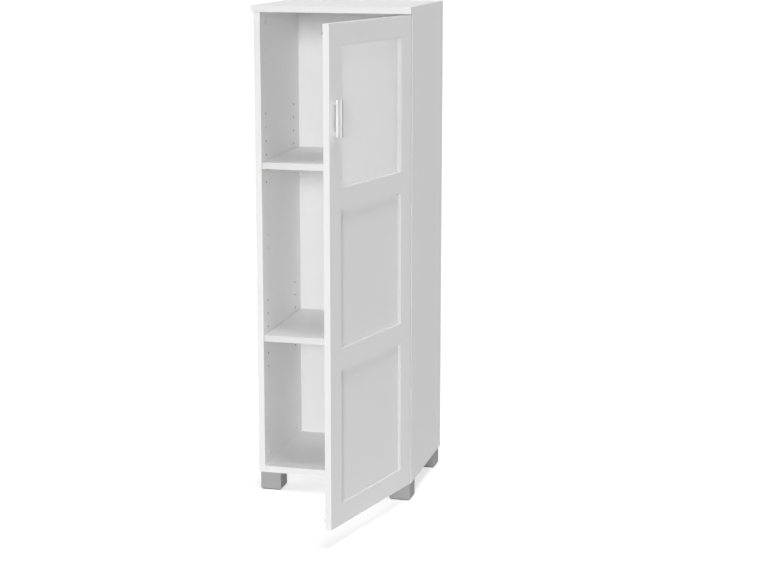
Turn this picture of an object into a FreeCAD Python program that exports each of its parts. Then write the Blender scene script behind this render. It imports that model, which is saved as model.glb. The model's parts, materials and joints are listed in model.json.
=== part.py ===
"""Tall bathroom cabinet on four block feet, with a framed door of glass and two panels.

Millimetres, +Z up, X to the right and Y to the back. The origin is on the floor under
the middle of the carcass. The door is drawn closed and then swung open on its hinge
axis by open_angle, which is how it stands at rest.
"""
import FreeCAD, Part
import Sketcher
import os

Vector = FreeCAD.Vector
doc = FreeCAD.newDocument("TallCabinet")

# ---------------------------------------------------------------- driving dimensions
SIZES = [
    # carcass
    ("overall_height", 1145.0),
    ("carcass_width", 371.0),
    ("side_depth", 316.0),
    ("board", 15.0),
    ("front_overhang", 18.0),
    ("bottom_lip", 0.5),
    ("foot_height", 44.0),
    ("back_sheet", 3.0),
    ("back_inset", 12.0),
    ("back_groove", 5.0),
    ("sheet_slack", 0.5),
    ("end_slack", 0.5),
    ("groove_slack", 0.2),
    ("fit_gap", 0.05),
    # rows of holes in the sides
    ("pin_pitch", 32.0),
    ("pin_hole", 5.0),
    ("pin_hole_depth", 10.0),
    ("front_column", 37.0),
    ("rear_column", 255.0),
    ("pin_row_start", 140.0),
    ("hinge_from_end", 104.5),
    # shelves
    ("shelf_side_gap", 1.0),
    ("shelf_front_inset", 1.0),
    ("shelf_back_gap", 2.0),
    ("upper_shelf_step", 1.0),
    ("lower_shelf_step", 3.0),
    ("pin_head_rise", 4.0),
    ("pin_head_reach", 8.0),
    # corner fittings
    ("cam_from_end", 24.0),
    ("cam_bore", 15.0),
    ("cam_depth", 12.5),
    ("cam_clearance", 0.2),
    ("bolt_size", 6.0),
    ("bolt_clearance", 0.5),
    ("bolt_grip", 10.0),
    ("bolt_in_cam", 4.0),
    ("dowel_size", 8.0),
    ("dowel_reach", 22.0),
    ("dowel_grip", 10.0),
    ("dowel_step", 32.0),
    ("cover_size", 17.0),
    ("cover_rise", 1.0),
    # feet
    ("foot_side", 50.0),
    ("foot_inset", 3.0),
    ("foot_wall", 2.5),
    ("foot_top", 4.0),
    ("foot_round", 2.0),
    ("foot_edge", 1.5),
    ("glide_rise", 2.0),
    ("glide_recess", 2.0),
    ("glide_gap", 0.3),
    ("foot_screw_step", 14.0),
    ("screw_size", 4.0),
    ("screw_head", 8.0),
    ("screw_head_rise", 2.4),
    ("screw_grip", 11.0),
    # door
    ("door_board", 15.0),
    ("door_side_gap", 2.0),
    ("door_top_gap", 3.0),
    ("door_bottom_gap", 1.5),
    ("door_front_gap", 3.0),
    ("open_angle", 76.0),
    ("stile_width", 47.0),
    ("rail_width", 46.0),
    ("top_rail_width", 45.0),
    ("panel_recess", 8.0),
    ("panel_board", 5.0),
    ("panel_groove", 6.0),
    ("panel_clip", 18.0),
    ("glass_thick", 4.0),
    ("glass_slack", 0.5),
    ("frame_dowel_size", 6.0),
    ("frame_dowel_grip", 12.0),
    ("frame_dowel_step", 11.0),
    ("retainer_length", 22.0),
    ("retainer_width", 12.0),
    ("retainer_thick", 1.5),
    ("retainer_over_glass", 5.5),
    ("retainer_screw_inset", 5.5),
    ("retainer_end_gap", 110.0),
    ("retainer_screw", 3.0),
    ("retainer_screw_head", 6.0),
    ("bumper_size", 8.0),
    ("bumper_thick", 2.4),
    ("bumper_from_end", 20.0),
    # handle
    ("handle_length", 78.0),
    ("handle_depth", 17.5),
    ("handle_bar", 6.4),
    ("handle_gap", 3.5),
    ("handle_post", 5.0),
    ("handle_post_height", 9.0),
    ("handle_post_bite", 0.5),
    ("handle_flute", 0.3),
    ("handle_flute_from", 6.5),
    ("handle_flute_to", 10.5),
    ("handle_flute_slope", 0.7),
    ("handle_round", 0.6),
    ("handle_from_edge", 24.0),
    ("handle_centres", 64.0),
    ("handle_screw", 3.0),
    ("handle_screw_bite", 9.0),
    ("handle_screw_head", 6.0),
    ("handle_screw_head_rise", 1.8),
    # cup hinges
    ("axis_from_edge", 7.0),
    ("axis_depth", 8.8),
    ("cup_bore", 35.0),
    ("cup_edge", 3.0),
    ("cup_depth", 12.0),
    ("cup_wall", 0.8),
    ("cup_clearance", 0.1),
    ("cup_flange", 1.0),
    ("cup_flange_over", 1.0),
    ("cup_screw_step", 24.0),
    ("cup_screw_offset", 6.0),
    ("cup_ear", 29.0),
    ("cup_ear_width", 16.0),
    ("cup_screw", 3.5),
    ("cup_screw_head", 7.0),
    ("cup_screw_head_rise", 1.5),
    ("cup_screw_bite", 9.0),
    ("nose_width", 8.0),
    ("nose_thick", 2.0),
    ("nose_reach", 17.0),
    ("eye_radius", 2.1),
    ("pivot_radius", 1.2),
    ("pivot_half", 7.6),
    ("lug_half", 8.0),
    ("lug_left", 2.2),
    ("lug_right", 1.6),
    ("lug_rise", 2.0),
    ("running_gap", 0.05),
    ("press_gap", 0.02),
    ("lug_gap", 0.6),
    ("arm_width", 17.0),
    ("arm_rise", 11.5),
    ("arm_wall", 1.5),
    ("arm_front_wall", 3.0),
    ("arm_start", 6.0),
    ("arm_length", 54.0),
    ("arm_screw", 5.0),
    ("arm_screw_head", 8.0),
    ("arm_screw_head_rise", 2.0),
    ("arm_screw_front", 26.0),
    ("arm_screw_rear", 48.0),
    ("plate_thick", 2.5),
    ("plate_half", 25.0),
    ("plate_width", 18.0),
    ("plate_screw_grip", 9.5),
    ("rib_width", 13.6),
    ("rib_rise", 5.0),
    ("rib_length", 40.0),
]

PIN_HOLES_PER_ROW = 6
EDGE_TOLERANCE = 0.01

sheet = doc.addObject("Spreadsheet::Sheet", "Sizes")
for row, (alias, value) in enumerate(SIZES, start=1):
    sheet.set("A%d" % row, alias)
    sheet.set("B%d" % row, repr(value))
    sheet.setAlias("B%d" % row, alias)
doc.recompute()


class Size:
    """A number together with the sheet formula that gives it."""

    def __init__(self, number, formula):
        self.number = number
        self.formula = formula

    def __add__(self, other):
        other = as_size(other)
        return Size(self.number + other.number, "(%s + %s)" % (self.formula, other.formula))

    def __radd__(self, other):
        return as_size(other) + self

    def __sub__(self, other):
        other = as_size(other)
        return Size(self.number - other.number, "(%s - %s)" % (self.formula, other.formula))

    def __rsub__(self, other):
        return as_size(other) - self

    def __mul__(self, factor):
        factor = as_size(factor)
        return Size(self.number * factor.number, "(%s * %s)" % (self.formula, factor.formula))

    __rmul__ = __mul__

    def __truediv__(self, divisor):
        divisor = as_size(divisor)
        return Size(self.number / divisor.number, "(%s / %s)" % (self.formula, divisor.formula))

    def __neg__(self):
        return 0 - self


def as_size(value):
    """A plain number as a Size; a Size stays as it is."""
    return value if isinstance(value, Size) else Size(float(value), repr(float(value)))


class Sheet:
    """Reads a driving dimension by its name."""

    def __getattr__(self, name):
        return Size(float(sheet.get(name)), "Sizes." + name)


d = Sheet()

# ---------------------------------------------------------------- derived dimensions
half_width = d.carcass_width / 2
half_depth = d.side_depth / 2
front = -half_depth                                  # front edge of the sides
inner_width = d.carcass_width - 2 * d.board
side_height = d.overall_height - d.foot_height - 2 * d.board
side_bottom = d.foot_height + d.board
side_mid = half_width - d.board / 2                  # middle of a side's thickness
mid_height = side_bottom + side_height / 2
back_face = half_depth - d.back_inset - d.back_sheet  # front face of the back sheet

door_width = d.carcass_width - 2 * d.door_side_gap
door_bottom = d.foot_height + d.door_bottom_gap
door_top = d.overall_height - d.board - d.door_top_gap
door_height = door_top - door_bottom
door_inner = front - d.door_front_gap                # the closed door's back face
door_outer = door_inner - d.door_board
door_left = -door_width / 2
door_right = door_width / 2
rail_length = door_width - 2 * d.stile_width
field_height = (door_height - d.top_rail_width - 3 * d.rail_width) / 3
rail_bottoms = [door_bottom + step * (d.rail_width + field_height) for step in range(3)]
top_rail_bottom = door_top - d.top_rail_width
panel_back = door_outer + d.panel_recess + d.panel_board
glass_front = door_inner - d.glass_thick - d.groove_slack

axis_x = door_right - d.axis_from_edge
axis_y = door_inner - d.axis_depth
cup_center = door_right - d.cup_edge - d.cup_bore / 2
hinge_spacing = side_height / 2 - d.hinge_from_end
hinge_heights = [mid_height - hinge_spacing, mid_height, mid_height + hinge_spacing]
hinge_names = ["lower", "middle", "upper"]
handle_mid = rail_bottoms[2] + d.rail_width + field_height / 2


# ---------------------------------------------------------------- modelling helpers
def bind(thing, prop, size):
    """Gives a property its number and ties it to the sheet."""
    size = as_size(size)
    if not prop.startswith(("Constraints", "Placement", "AttachmentOffset")):
        setattr(thing, prop, size.number)
    thing.setExpression(prop, size.formula)


def new_body(label):
    """An empty sub-part."""
    body = doc.addObject("PartDesign::Body", label)
    body.Label = label
    return body


def plane_of(body, role):
    """One of the body's own origin planes."""
    return [o for o in body.Origin.OriginFeatures if o.Role == role][0]


def new_sketch(body, plane, start=0.0):
    """A sketch on an origin plane, moved along the plane's normal by start."""
    sketch = body.newObject("Sketcher::SketchObject", body.Label + "_sketch")
    sketch.AttachmentSupport = [(plane_of(body, plane), "")]
    sketch.MapMode = "FlatFace"
    start = as_size(start)
    sketch.AttachmentOffset = FreeCAD.Placement(Vector(0, 0, start.number), FreeCAD.Rotation())
    bind(sketch, "AttachmentOffset.Base.z", start)
    return sketch


def hold(sketch, kind, places, size):
    """A dimension in a sketch, tied to the sheet."""
    size = as_size(size)
    index = sketch.addConstraint(Sketcher.Constraint(kind, *places, size.number))
    sketch.setExpression("Constraints[%d]" % index, size.formula)


def polygon(sketch, corners):
    """A closed outline through the corners; every corner is held from the origin."""
    points = [(as_size(x), as_size(y)) for x, y in corners]
    first = sketch.GeometryCount
    count = len(points)
    for index in range(count):
        a = points[index]
        b = points[(index + 1) % count]
        line = Part.LineSegment(Vector(a[0].number, a[1].number, 0), Vector(b[0].number, b[1].number, 0))
        sketch.addGeometry(line, False)
    for index in range(count):
        following = first + (index + 1) % count
        sketch.addConstraint(Sketcher.Constraint("Coincident", first + index, 2, following, 1))
    for index, (x, y) in enumerate(points):
        hold(sketch, "DistanceX", (-1, 1, first + index, 1), x)
        hold(sketch, "DistanceY", (-1, 1, first + index, 1), y)


def rectangle(sketch, left, low, width, height):
    """A rectangle from its lower left corner."""
    left, low = as_size(left), as_size(low)
    right, high = left + width, low + height
    polygon(sketch, [(left, low), (right, low), (right, high), (left, high)])


def circle(sketch, x, y, radius):
    """A circle held by its centre and radius."""
    x, y, radius = as_size(x), as_size(y), as_size(radius)
    index = sketch.GeometryCount
    sketch.addGeometry(Part.Circle(Vector(x.number, y.number, 0), Vector(0, 0, 1), radius.number), False)
    hold(sketch, "DistanceX", (-1, 1, index, 3), x)
    hold(sketch, "DistanceY", (-1, 1, index, 3), y)
    hold(sketch, "Radius", (index,), radius)


def pad(sketch, length):
    """Adds material from the sketch along its normal."""
    body = sketch.getParentGeoFeatureGroup()
    feature = body.newObject("PartDesign::Pad", body.Label + "_pad")
    feature.Profile = sketch
    bind(feature, "Length", length)
    doc.recompute()
    return feature


def cut(sketch, length):
    """Removes material from the sketch along its normal."""
    body = sketch.getParentGeoFeatureGroup()
    before = body.Shape.Volume
    feature = body.newObject("PartDesign::Pocket", body.Label + "_pocket")
    feature.Profile = sketch
    feature.Reversed = True
    bind(feature, "Length", length)
    doc.recompute()
    if not body.Shape.Volume < before:
        raise ValueError("a pocket in %s cuts nothing" % body.Label)
    return feature


def block(body, plane, start, length, left, low, width, height):
    """Pads a rectangle."""
    sketch = new_sketch(body, plane, start)
    rectangle(sketch, left, low, width, height)
    return pad(sketch, length)


def slot(body, plane, start, length, left, low, width, height):
    """Cuts a rectangle."""
    sketch = new_sketch(body, plane, start)
    rectangle(sketch, left, low, width, height)
    return cut(sketch, length)


def rod(body, plane, start, length, centres, diameter):
    """Pads round bars at the centres."""
    sketch = new_sketch(body, plane, start)
    for x, y in centres:
        circle(sketch, x, y, diameter / 2)
    return pad(sketch, length)


def drill(body, plane, start, length, centres, diameter):
    """Cuts round holes at the centres."""
    sketch = new_sketch(body, plane, start)
    for x, y in centres:
        circle(sketch, x, y, diameter / 2)
    return cut(sketch, length)


def shaft(bore):
    """The diameter of what goes into a bore, a little smaller all round."""
    return bore - 2 * d.fit_gap


def repeat_up(body, feature, pitch, count):
    """Repeats a cut along the sketch's vertical axis."""
    pattern = body.newObject("PartDesign::LinearPattern", body.Label + "_pattern")
    pattern.Originals = [feature]
    pattern.Direction = (feature.Profile[0], ["V_Axis"])
    bind(pattern, "Length", pitch * (count - 1))
    pattern.Occurrences = count
    body.Tip = pattern
    doc.recompute()
    return pattern


def soften(body, edges, size, kind="Fillet"):
    """Rounds (Fillet) or bevels (Chamfer) edges of the body's last feature."""
    base = body.Tip
    feature = body.newObject("PartDesign::" + kind, body.Label + "_" + kind.lower())
    feature.Base = (base, edges)
    bind(feature, "Radius" if kind == "Fillet" else "Size", size)
    doc.recompute()
    return feature


def edges_where(body, test):
    """Names of the edges of the body's shape that pass the test."""
    return ["Edge%d" % (i + 1) for i, edge in enumerate(body.Shape.Edges) if test(edge)]


def is_upright(edge):
    """True for a straight edge along Z."""
    return abs(edge.tangentAt(edge.FirstParameter).z) > 1 - EDGE_TOLERANCE


def is_lowest(edge):
    """True for an edge that lies in the plane z = 0."""
    return edge.BoundBox.ZMax < EDGE_TOLERANCE


def placement_text(x, y, z, turn):
    """The sheet formula of a placement; turn is (axis, degrees)."""
    axis, degrees = turn
    where = "create(<<vector>>; %s; %s; %s)" % tuple(as_size(v).formula for v in (x, y, z))
    way = "create(<<rotation>>; create(<<vector>>; %g; %g; %g); %s)" % (
        *axis, as_size(degrees).formula)
    return "create(<<placement>>; %s; %s)" % (where, way)


NO_TURN = ((0, 0, 1), 0.0)
STAND_ON_EDGE = ((1, 1, 1), 120.0)         # x, y, z of the sub-part become Y, Z, X
STAND_UPSIDE_DOWN = ((-1, -1, 1), 120.0)   # x, y, z become Y, -Z, -X


def place(thing, x=0.0, y=0.0, z=0.0, turn=NO_TURN):
    """Puts a carcass sub-part in its place."""
    thing.setExpression("Placement", placement_text(x, y, z, turn))


def place_on_door(thing, x=0.0, y=0.0, z=0.0):
    """Puts a door sub-part, given for the closed door, on the opened door."""
    opened = placement_text(axis_x, axis_y, 0.0, ((0, 0, 1), d.open_angle))
    closed = placement_text(x - axis_x, y - axis_y, z, NO_TURN)
    thing.setExpression("Placement", "%s * %s" % (opened, closed))


# ---------------------------------------------------------------- carcass boards
column_depths = [d.front_column, d.rear_column]
cam_heights = [d.cam_from_end, side_height - d.cam_from_end]
bolt_bore = d.bolt_size + 2 * d.bolt_clearance
dowel_depths = [d.front_column + d.dowel_step, d.rear_column - d.dowel_step]


def side_board(label):
    """A side lying on its outer face: x from the front, y along the height, z inwards."""
    body = new_body(label)
    block(body, "XY_Plane", 0, d.board, 0, 0, d.side_depth, side_height)
    slot(body, "XY_Plane", d.board - d.back_groove, d.back_groove,
         back_face - front, 0, d.back_sheet + d.groove_slack, side_height)
    pin_floor = d.board - d.pin_hole_depth
    first_row = side_height / 2 - d.pin_row_start - (PIN_HOLES_PER_ROW - 1) * d.pin_pitch
    for start in (first_row, side_height / 2 + d.pin_row_start):
        pair = drill(body, "XY_Plane", pin_floor, d.pin_hole_depth,
                     [(column, start) for column in column_depths], d.pin_hole)
        repeat_up(body, pair, d.pin_pitch, PIN_HOLES_PER_ROW)
    plate_holes = [
        (d.front_column, side_height / 2 + step * hinge_spacing + half * d.pin_pitch / 2)
        for step in (-1, 0, 1)
        for half in (-1, 1)
    ]
    drill(body, "XY_Plane", pin_floor, d.pin_hole_depth, plate_holes, d.pin_hole)
    drill(body, "XY_Plane", d.board - d.cam_depth, d.cam_depth,
          [(column, height) for column in column_depths for height in cam_heights],
          d.cam_bore + 2 * d.cam_clearance)
    # bores in both ends for the bolts and the dowels; the XZ plane's normal is -Y
    for end in (-d.cam_from_end, -side_height):
        drill(body, "XZ_Plane", end, d.cam_from_end,
              [(column, d.board / 2) for column in column_depths], bolt_bore)
    for end in (-d.dowel_reach, -side_height):
        drill(body, "XZ_Plane", end, d.dowel_reach,
              [(column, d.board / 2) for column in dowel_depths], d.dowel_size)
    return body


left_side = side_board("left_side")
place(left_side, -half_width, front, side_bottom, STAND_ON_EDGE)
right_side = side_board("right_side")
place(right_side, half_width, front, side_bottom + side_height, STAND_UPSIDE_DOWN)


def end_board(label, depth, side_lip, inner_face, first_cut):
    """A top or bottom board: x across, y from the front edge of the sides, z up.

    inner_face is the height of the face that the sides meet; first_cut is where a
    groove or bore of a given depth starts, below or above that face.
    """
    body = new_body(label)
    lead = depth - d.side_depth
    block(body, "XY_Plane", 0, d.board, -half_width - side_lip, -lead,
          d.carcass_width + 2 * side_lip, depth)
    slot(body, "XY_Plane", first_cut(d.back_groove), d.back_groove,
         -inner_width / 2 - d.back_groove, back_face - front,
         inner_width + 2 * d.back_groove, d.back_sheet + d.groove_slack)
    bolt_holes = [(side * side_mid, y) for side in (-1, 1) for y in column_depths]
    drill(body, "XY_Plane", first_cut(d.bolt_grip), d.bolt_grip, bolt_holes, d.bolt_size)
    dowel_holes = [(side * side_mid, y) for side in (-1, 1) for y in dowel_depths]
    drill(body, "XY_Plane", first_cut(d.dowel_grip), d.dowel_grip, dowel_holes, d.dowel_size)
    return body


top_board = end_board("top_board", d.side_depth + d.front_overhang, 0, 0, lambda depth: 0)
place(top_board, 0, front, d.overall_height - d.board)
bottom_board = end_board("bottom_board", d.side_depth, d.bottom_lip, d.board,
                         lambda depth: d.board - depth)
foot_mid_x = half_width - d.foot_inset - d.foot_side / 2
foot_mid_y = half_depth - d.foot_inset - d.foot_side / 2
foot_spots = [
    (side * foot_mid_x, end * foot_mid_y) for side in (-1, 1) for end in (-1, 1)
]
foot_screw_spots = [
    (x + half * d.foot_screw_step, y) for x, y in foot_spots for half in (-1, 1)
]
drill(bottom_board, "XY_Plane", 0, d.screw_grip,
      [(x, y - front) for x, y in foot_screw_spots], d.screw_size)
place(bottom_board, 0, front, d.foot_height)

back_panel = new_body("back_panel")
back_width = inner_width + 2 * d.back_groove - 2 * d.sheet_slack
back_height = side_height + 2 * d.back_groove - 2 * d.sheet_slack
block(back_panel, "XY_Plane", 0, d.back_sheet, -back_width / 2, 0, back_width, back_height)
place(back_panel, 0, back_face + d.back_sheet,
      side_bottom - d.back_groove + d.sheet_slack, ((1, 0, 0), 90.0))

# ---------------------------------------------------------------- shelves and their pins
shelf_width = inner_width - 2 * d.shelf_side_gap
shelf_depth = back_face - front - d.shelf_front_inset - d.shelf_back_gap
upper_pin_height = mid_height + d.pin_row_start + d.upper_shelf_step * d.pin_pitch
lower_pin_height = mid_height - d.pin_row_start - d.lower_shelf_step * d.pin_pitch


def shelf(name, pin_height):
    """A loose shelf board and the four pins that carry it."""
    board = new_body(name + "_shelf")
    block(board, "XY_Plane", 0, d.board, -shelf_width / 2, 0, shelf_width, shelf_depth)
    place(board, 0, front + d.shelf_front_inset, pin_height + d.pin_head_rise)
    pins = new_body(name + "_shelf_pins")
    columns = [front + column for column in column_depths]
    peg_length = d.pin_hole_depth - d.end_slack
    for peg_start, head_start in (
        (-inner_width / 2 - peg_length, -inner_width / 2),
        (inner_width / 2, inner_width / 2 - d.pin_head_reach),
    ):
        rod(pins, "YZ_Plane", peg_start, peg_length, [(column, 0) for column in columns],
            shaft(d.pin_hole))
        for column in columns:
            block(pins, "YZ_Plane", head_start, d.pin_head_reach, column - d.pin_head_rise,
                  -d.pin_head_rise, 2 * d.pin_head_rise, 2 * d.pin_head_rise)
    place(pins, 0, 0, pin_height)


shelf("upper", upper_pin_height)
shelf("lower", lower_pin_height)

# ---------------------------------------------------------------- corner fittings
# each corner of the carcass has a cam in the side, a bolt in the end board and a dowel
side_ends = [(side_bottom, 1), (side_bottom + side_height, -1)]
bolt_top = d.bolt_grip - d.end_slack
bolt_reach = d.cam_from_end - d.cam_bore / 2 + d.bolt_in_cam
bolt_spots = [(side * side_mid, front + y) for side in (-1, 1) for y in column_depths]
dowel_top = d.dowel_grip - d.end_slack
dowel_bottom = d.dowel_reach - d.end_slack
dowel_spots = [(side * side_mid, front + y) for side in (-1, 1) for y in dowel_depths]
cam_body = d.cam_depth - d.end_slack

cams = new_body("cam_fittings")
cam_covers = new_body("cam_covers")
bolts = new_body("cam_bolts")
dowels = new_body("carcass_dowels")
for end, inward in side_ends:
    cam_z = end + inward * d.cam_from_end
    spots = [(front + column, cam_z) for column in column_depths]
    for face, cam_start, cover_start in (
        (-inner_width / 2, -inner_width / 2 - cam_body, -inner_width / 2),
        (inner_width / 2, inner_width / 2, inner_width / 2 - d.cover_rise),
    ):
        rod(cams, "YZ_Plane", cam_start, cam_body, spots, d.cam_bore)
        rod(cam_covers, "YZ_Plane", cover_start, d.cover_rise, spots, d.cover_size)
    # the bolt runs from the end board through the cam's rim
    low = end - bolt_top if inward > 0 else end - bolt_reach
    rod(bolts, "XY_Plane", low, bolt_top + bolt_reach, bolt_spots, shaft(d.bolt_size))
    low = end - dowel_top if inward > 0 else end - dowel_bottom
    rod(dowels, "XY_Plane", low, dowel_top + dowel_bottom, dowel_spots, shaft(d.dowel_size))
# the way into each cam for its bolt
for end, inward in side_ends:
    deepest = end + inward * (bolt_reach + d.bolt_clearance)
    low = deepest - d.cam_bore / 2 if inward > 0 else deepest
    drill(cams, "XY_Plane", low, d.cam_bore / 2, bolt_spots, bolt_bore)
for group in (cams, cam_covers, bolts, dowels):
    place(group)

# ---------------------------------------------------------------- feet
foot_body_low = d.glide_rise
foot_names = ["left_front", "left_rear", "right_front", "right_rear"]


def foot(label, x, y):
    """A hollow square block, open below, that is screwed up into the bottom board."""
    body = new_body(label)
    half = d.foot_side / 2
    height = d.foot_height - foot_body_low
    block(body, "XY_Plane", 0, height, -half, -half, d.foot_side, d.foot_side)
    soften(body, edges_where(body, is_upright), d.foot_round)
    soften(body, edges_where(body, is_lowest), d.foot_edge, "Chamfer")
    inside = d.foot_side - 2 * d.foot_wall
    slot(body, "XY_Plane", 0, height - d.foot_top, -inside / 2, -inside / 2, inside, inside)
    drill(body, "XY_Plane", height - d.foot_top, d.foot_top,
          [(-d.foot_screw_step, 0), (d.foot_screw_step, 0)], d.screw_size)
    place(body, x, y, foot_body_low)
    glide = new_body(label.replace("foot", "glide"))
    side = inside - 2 * d.glide_gap
    block(glide, "XY_Plane", 0, foot_body_low + d.glide_recess, -side / 2, -side / 2, side, side)
    place(glide, x, y, 0)


for foot_name, (x, y) in zip(foot_names, foot_spots):
    foot("foot_" + foot_name, x, y)

foot_screws = new_body("foot_screws")
head_top = d.foot_height - d.foot_top
rod(foot_screws, "XY_Plane", head_top - d.screw_head_rise, d.screw_head_rise,
    foot_screw_spots, d.screw_head)
rod(foot_screws, "XY_Plane", head_top, d.foot_top + d.screw_grip - d.end_slack,
    foot_screw_spots, shaft(d.screw_size))
place(foot_screws)

# ---------------------------------------------------------------- door frame
groove = d.panel_groove
groove_front = door_outer + d.panel_recess - d.groove_slack
groove_size = d.panel_board + 2 * d.groove_slack
panel_zone_top = rail_bottoms[2] + d.rail_width / 2
frame_dowel_y = door_inner - d.door_board / 2
dowel_bore_depth = d.frame_dowel_grip + d.end_slack


def rail_dowel_heights(rail_bottom, rail_width):
    """The two dowel heights at each end of a rail."""
    middle = rail_bottom + rail_width / 2
    return [middle - d.frame_dowel_step, middle + d.frame_dowel_step]


rails = [("bottom", rail_bottoms[0], d.rail_width),
         ("lower_middle", rail_bottoms[1], d.rail_width),
         ("upper_middle", rail_bottoms[2], d.rail_width),
         ("top", top_rail_bottom, d.top_rail_width)]
dowel_heights = [z for _, low, wide in rails for z in rail_dowel_heights(low, wide)]


def stile(label, left, inward):
    """An upright of the door. inward is +1 when the field is on its right."""
    body = new_body(label)
    block(body, "XY_Plane", door_bottom, door_height, left, door_outer,
          d.stile_width, d.door_board)
    inner_edge = left + d.stile_width if inward > 0 else left
    groove_left = inner_edge - groove if inward > 0 else inner_edge
    low = door_bottom + d.rail_width / 2
    slot(body, "XY_Plane", low, panel_zone_top - low, groove_left, groove_front,
         groove, groove_size)
    slot(body, "XY_Plane", rail_bottoms[2] + d.rail_width - groove,
         field_height + 2 * groove, groove_left, glass_front, groove, door_inner - glass_front)
    bore_start = inner_edge - dowel_bore_depth if inward > 0 else inner_edge
    drill(body, "YZ_Plane", bore_start, dowel_bore_depth,
          [(frame_dowel_y, z) for z in dowel_heights], d.frame_dowel_size)
    return body


free_stile = stile("free_stile", door_left, 1)
hinge_stile = stile("hinge_stile", door_right - d.stile_width, -1)
# the hinge stile takes the three cups from behind
drill(hinge_stile, "XZ_Plane", -door_inner, d.cup_depth + d.groove_slack,
      [(cup_center, z) for z in hinge_heights], d.cup_bore + 2 * d.cup_clearance)
# the free stile takes the two handle screws
handle_x = door_left + d.handle_from_edge
handle_screw_heights = [handle_mid - d.handle_centres / 2, handle_mid + d.handle_centres / 2]
drill(free_stile, "XZ_Plane", -door_inner, d.door_board,
      [(handle_x, z) for z in handle_screw_heights], d.handle_screw)

rail_left = door_left + d.stile_width


def rail(label, low, width, panel_below, panel_above, glass_below, glass_above):
    """A cross piece between the stiles, grooved for panels and rebated for the glass."""
    body = new_body(label)
    block(body, "YZ_Plane", rail_left, rail_length, door_outer, low, d.door_board, width)
    if panel_below:
        slot(body, "YZ_Plane", rail_left, rail_length, groove_front, low, groove_size, groove)
    if panel_above:
        slot(body, "YZ_Plane", rail_left, rail_length, groove_front, low + width - groove,
             groove_size, groove)
    rebate = door_inner - glass_front
    if glass_below:
        slot(body, "YZ_Plane", rail_left, rail_length, glass_front, low, rebate, groove)
    if glass_above:
        slot(body, "YZ_Plane", rail_left, rail_length, glass_front, low + width - groove,
             rebate, groove)
    heights = [(frame_dowel_y, z) for z in rail_dowel_heights(low, width)]
    drill(body, "YZ_Plane", rail_left, dowel_bore_depth, heights, d.frame_dowel_size)
    drill(body, "YZ_Plane", rail_left + rail_length - dowel_bore_depth, dowel_bore_depth,
          heights, d.frame_dowel_size)
    return body


bottom_rail = rail("bottom_rail", *rails[0][1:], False, True, False, False)
lower_middle_rail = rail("lower_middle_rail", *rails[1][1:], True, True, False, False)
upper_middle_rail = rail("upper_middle_rail", *rails[2][1:], True, False, False, True)
top_rail = rail("top_rail", *rails[3][1:], False, False, True, False)

door_dowels = new_body("door_dowels")
for joint in (rail_left, rail_left + rail_length):
    rod(door_dowels, "YZ_Plane", joint - d.frame_dowel_grip, 2 * d.frame_dowel_grip,
        [(frame_dowel_y, z) for z in dowel_heights], shaft(d.frame_dowel_size))

# ---------------------------------------------------------------- door fields
insert = groove - d.sheet_slack
panel_width = rail_length + 2 * insert
panel_height = field_height + 2 * insert


def door_panel(label, low):
    """A panel in the frame's groove, with its two upper corners clipped off."""
    body = new_body(label)
    left = rail_left - insert
    right = left + panel_width
    high = low - insert + panel_height
    sketch = new_sketch(body, "XZ_Plane", -panel_back)
    polygon(sketch, [(left, low - insert), (right, low - insert), (right, high - d.panel_clip),
                     (right - d.panel_clip, high), (left + d.panel_clip, high),
                     (left, high - d.panel_clip)])
    pad(sketch, d.panel_board)
    return body


lower_panel = door_panel("lower_door_panel", rail_bottoms[0] + d.rail_width)
upper_panel = door_panel("upper_door_panel", rail_bottoms[1] + d.rail_width)

glass_low = rail_bottoms[2] + d.rail_width
glass_reach = groove - d.glass_slack
glass_pane = new_body("glass_pane")
block(glass_pane, "XZ_Plane", -(glass_front + d.glass_thick), d.glass_thick,
      rail_left - glass_reach, glass_low - glass_reach,
      rail_length + 2 * glass_reach, field_height + 2 * glass_reach)

# flat clips behind the pane's edges, each held by one screw in a stile
retainers = new_body("glass_retainers")
retainer_screws = new_body("glass_retainer_screws")
glass_high = glass_low + field_height
retainer_heights = [glass_low + d.retainer_end_gap, glass_high - d.retainer_end_gap]
retainer_spots = []
for edge, outward in ((rail_left, -1), (rail_left + rail_length, 1)):
    middle = edge + outward * (d.retainer_length / 2 - d.retainer_over_glass)
    screw_x = middle + outward * (d.retainer_length / 2 - d.retainer_screw_inset)
    for z in retainer_heights:
        block(retainers, "XZ_Plane", -door_inner - d.retainer_thick, d.retainer_thick,
              middle - d.retainer_length / 2, z - d.retainer_width / 2,
              d.retainer_length, d.retainer_width)
        retainer_spots.append((screw_x, z))
drill(retainers, "XZ_Plane", -door_inner - d.retainer_thick, d.retainer_thick,
      retainer_spots, d.retainer_screw)
drill(free_stile, "XZ_Plane", -door_inner, d.screw_grip, retainer_spots[:2], d.retainer_screw)
drill(hinge_stile, "XZ_Plane", -door_inner, d.screw_grip, retainer_spots[2:], d.retainer_screw)
rod(retainer_screws, "XZ_Plane", -door_inner - 2 * d.retainer_thick, d.retainer_thick,
    retainer_spots, d.retainer_screw_head)
rod(retainer_screws, "XZ_Plane", -door_inner - d.retainer_thick,
    d.retainer_thick + d.screw_grip - d.end_slack, retainer_spots, shaft(d.retainer_screw))

# soft pads on the back of the free stile, opposite the left side's front edge
bumpers = new_body("door_bumpers")
bumper_x = -half_width + d.board / 2
rod(bumpers, "XZ_Plane", -door_inner - d.bumper_thick, d.bumper_thick,
    [(bumper_x, door_bottom + d.bumper_from_end), (bumper_x, door_top - d.bumper_from_end)],
    d.bumper_size)

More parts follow.
